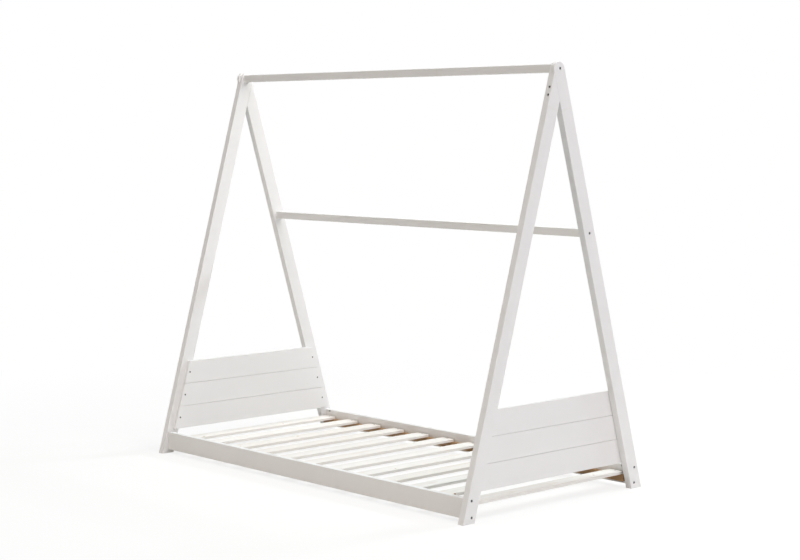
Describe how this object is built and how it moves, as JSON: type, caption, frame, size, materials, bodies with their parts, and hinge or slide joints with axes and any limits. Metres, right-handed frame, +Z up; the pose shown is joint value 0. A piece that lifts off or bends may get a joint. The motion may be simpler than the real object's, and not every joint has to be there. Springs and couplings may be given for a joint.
{
  "type": "house frame bed",
  "caption": "Low floor bed for a child inside an A-frame house outline, with a ridge rail, a rail along the back, a slatted base and a boarded headboard and footboard.",
  "frame": {"origin": "floor level under the middle of the bed", "axes": "+X along the bed towards the footboard, +Y across it towards the side with the mid rail, +Z up"},
  "size_m": [2, 1.0364, 1.734],
  "materials": {
    "white_paint": "satin white water-based paint on planed pine",
    "raw_pine": "planed pine, unfinished",
    "zinc_steel": "dull zinc plate"
  },
  "bodies": {
    "root": {"leg_front_footboard": "white_paint", "leg_back_footboard": "white_paint", "leg_front_headboard": "white_paint", "leg_back_headboard": "white_paint", "ridge_rail": "white_paint", "mid_rail": "white_paint", "side_rail_front": "white_paint", "side_rail_back": "white_paint", "slat_ledger_front": "raw_pine", "slat_ledger_back": "raw_pine", "slat_01": "raw_pine", "slat_02": "raw_pine", "slat_03": "raw_pine", "slat_04": "raw_pine", "slat_05": "raw_pine", "slat_06": "raw_pine", "slat_07": "raw_pine", "slat_08": "raw_pine", "slat_09": "raw_pine", "slat_10": "raw_pine", "slat_11": "raw_pine", "slat_12": "raw_pine", "footboard_lower": "white_paint", "footboard_middle": "white_paint", "footboard_upper": "white_paint", "headboard_lower": "white_paint", "headboard_middle": "white_paint", "headboard_upper": "white_paint", "side_rail_bolts": "zinc_steel", "apex_bolts": "zinc_steel", "mid_rail_bolts": "zinc_steel", "side_rail_barrel_nuts": "zinc_steel", "ridge_barrel_nuts": "zinc_steel", "mid_rail_barrel_nuts": "zinc_steel", "lap_screws": "zinc_steel", "footboard_screws": "zinc_steel", "headboard_screws": "zinc_steel", "ledger_screws": "zinc_steel", "slat_screws": "zinc_steel"}
  },
  "joints": []
}
